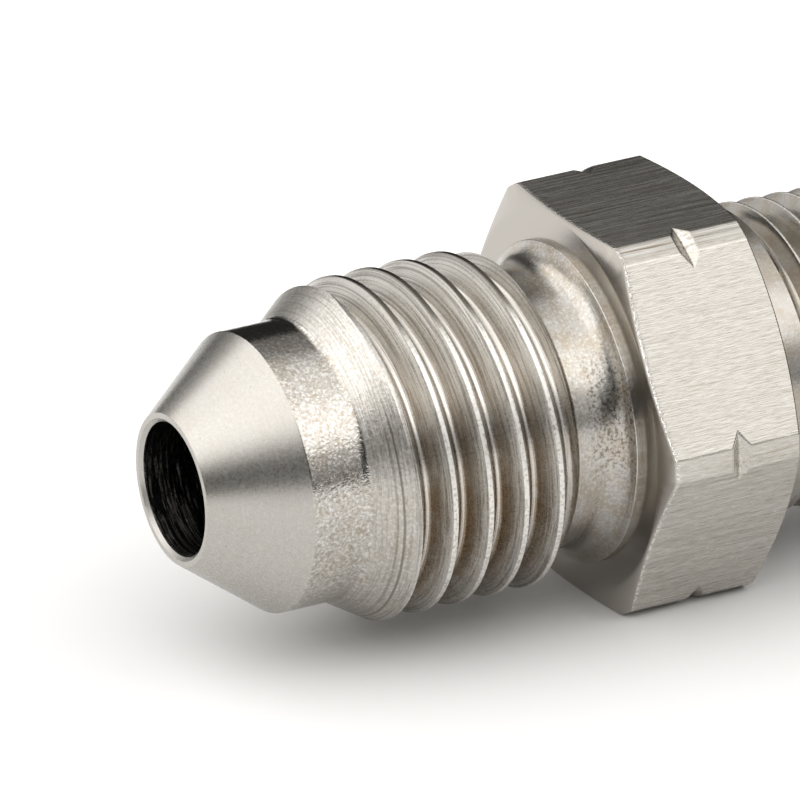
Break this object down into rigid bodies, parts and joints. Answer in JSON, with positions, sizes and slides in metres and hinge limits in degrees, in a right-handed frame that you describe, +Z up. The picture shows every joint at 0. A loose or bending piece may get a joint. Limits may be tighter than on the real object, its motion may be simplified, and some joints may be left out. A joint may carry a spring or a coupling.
{
  "type": "flare adapter",
  "caption": "Straight steel fitting with a flared-tube cone seat and thread at one end, a wrench hexagon in the middle, a tapered pipe thread at the other end and a bore right through.",
  "frame": {"origin": "middle of the fitting's length, on the hexagon flat it rests on", "axes": "+X along the bore from the flare nose to the pipe thread, +Z up"},
  "size_m": [0.0302, 0.0142, 0.0127],
  "materials": {
    "steel": "turned and brushed"
  },
  "bodies": {
    "root": {"adapter_body": "steel"}
  },
  "joints": []
}
